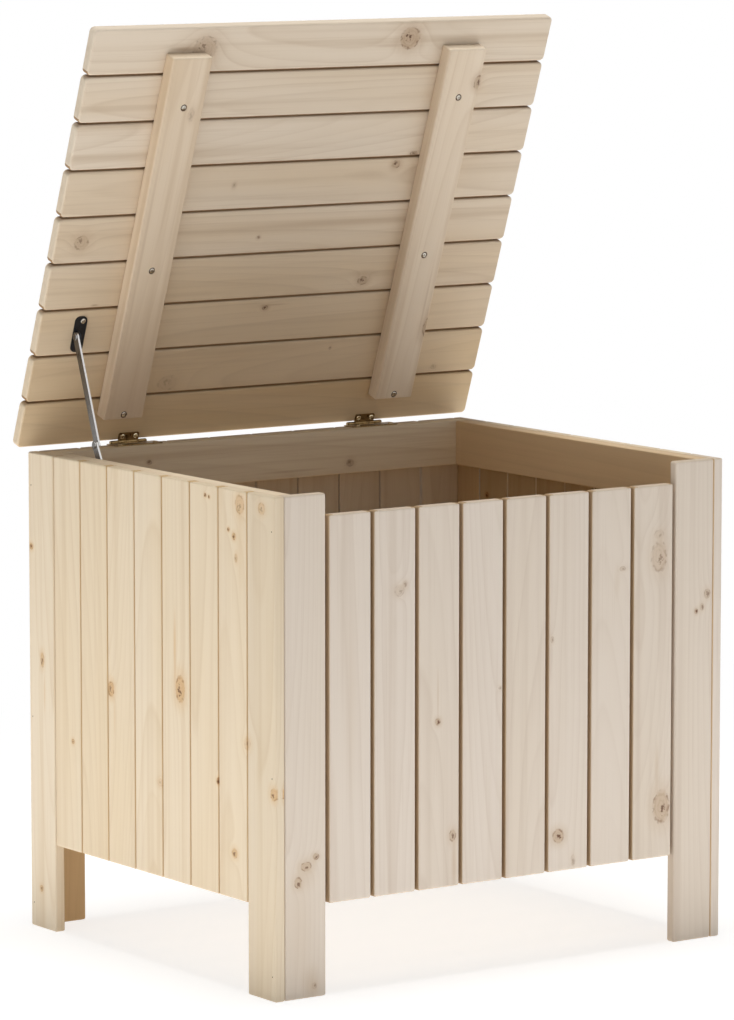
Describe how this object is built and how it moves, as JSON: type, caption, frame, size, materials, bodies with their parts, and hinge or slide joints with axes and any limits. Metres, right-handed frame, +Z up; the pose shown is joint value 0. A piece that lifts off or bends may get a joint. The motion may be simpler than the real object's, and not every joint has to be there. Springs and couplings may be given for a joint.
{
  "type": "toy box",
  "caption": "Free-standing slatted pine toy box on corner legs, with a hinged plank lid held open by a folding metal stay.",
  "frame": {"origin": "centre of the box's rest-pose bounding rectangle on the floor", "axes": "+X to the right seen from the front, +Y from front to back, +Z up"},
  "size_m": [0.6, 0.4946, 0.9861],
  "materials": {
    "pine_wall": "untreated planed pine",
    "pine_lid": "untreated planed pine",
    "pine_inner": "untreated planed pine",
    "hinge_bronze": "antique bronze plating",
    "hinge_screw": "antique brass",
    "stay_steel": "zinc plated",
    "stay_black": "black coating",
    "screw_steel": "zinc plated",
    "nail_steel": "dull steel"
  },
  "bodies": {
    "box": {"leg_front_left_face": "pine_wall", "leg_front_left_side": "pine_wall", "leg_back_left_face": "pine_wall", "leg_back_left_side": "pine_wall", "leg_front_right_face": "pine_wall", "leg_front_right_side": "pine_wall", "leg_back_right_face": "pine_wall", "leg_back_right_side": "pine_wall", "leg_nails": "nail_steel", "front_slat_1": "pine_wall", "front_slat_2": "pine_wall", "front_slat_3": "pine_wall", "front_slat_4": "pine_wall", "front_slat_5": "pine_wall", "front_slat_6": "pine_wall", "front_slat_7": "pine_wall", "front_slat_8": "pine_wall", "left_slat_1": "pine_wall", "left_slat_2": "pine_wall", "left_slat_3": "pine_wall", "left_slat_4": "pine_wall", "left_slat_5": "pine_wall", "left_slat_6": "pine_wall", "left_slat_7": "pine_wall", "right_slats": "pine_wall", "back_slats": "pine_wall", "top_rail_back": "pine_inner", "top_rail_left": "pine_inner", "top_rail_right": "pine_inner", "top_rail_front": "pine_inner", "floor_cleats": "pine_inner", "floor_boards": "pine_inner", "hinge_box_leaf_left": "hinge_bronze", "hinge_box_leaf_right": "hinge_bronze", "hinge_pins": "hinge_screw", "hinge_box_screws": "hinge_screw", "stay_box_bracket": "stay_black", "stay_box_screws": "screw_steel"},
    "lid": {"lid_batten_left": "pine_lid", "lid_batten_right": "pine_lid", "batten_screws": "screw_steel", "stay_lid_bracket": "stay_black", "stay_lid_rivet": "stay_steel", "stay_lid_screws": "screw_steel", "hinge_lid_leaf_left": "hinge_bronze", "hinge_lid_leaf_right": "hinge_bronze", "hinge_lid_screws": "hinge_screw", "lid_board_1": "pine_lid", "lid_board_2": "pine_lid", "lid_board_3": "pine_lid", "lid_board_4": "pine_lid", "lid_board_5": "pine_lid", "lid_board_6": "pine_lid", "lid_board_7": "pine_lid", "lid_board_8": "pine_lid", "lid_board_9": "pine_lid"},
    "stay_upper": {"stay_upper_arm": "stay_steel", "stay_elbow_rivet": "stay_steel"},
    "stay_lower": {"stay_lower_arm": "stay_steel", "stay_box_rivet": "stay_steel"}
  },
  "joints": [
    {"name": "lid_hinge", "type": "hinge", "parent": "box", "child": "lid", "pos_m": [0, 0.23589, 0.5235], "axis": [1, 0, 0], "range_deg": [0, 70.16]},
    {"name": "stay_lid_pivot", "type": "hinge", "parent": "lid", "child": "stay_upper", "pos_m": [0, 0.185, 0.64834], "axis": [1, 0, 0], "range_deg": [-3.42, 0]},
    {"name": "stay_elbow", "type": "hinge", "parent": "stay_upper", "child": "stay_lower", "pos_m": [0, 0.14362, 0.53502], "axis": [1, 0, 0], "range_deg": [-141.76, 0]}
  ],
  "couplings": [
    {"joint": "stay_lid_pivot", "follows": "lid_hinge", "ratio": -0.048751},
    {"joint": "stay_elbow", "follows": "lid_hinge", "ratio": -2.0205}
  ]
}
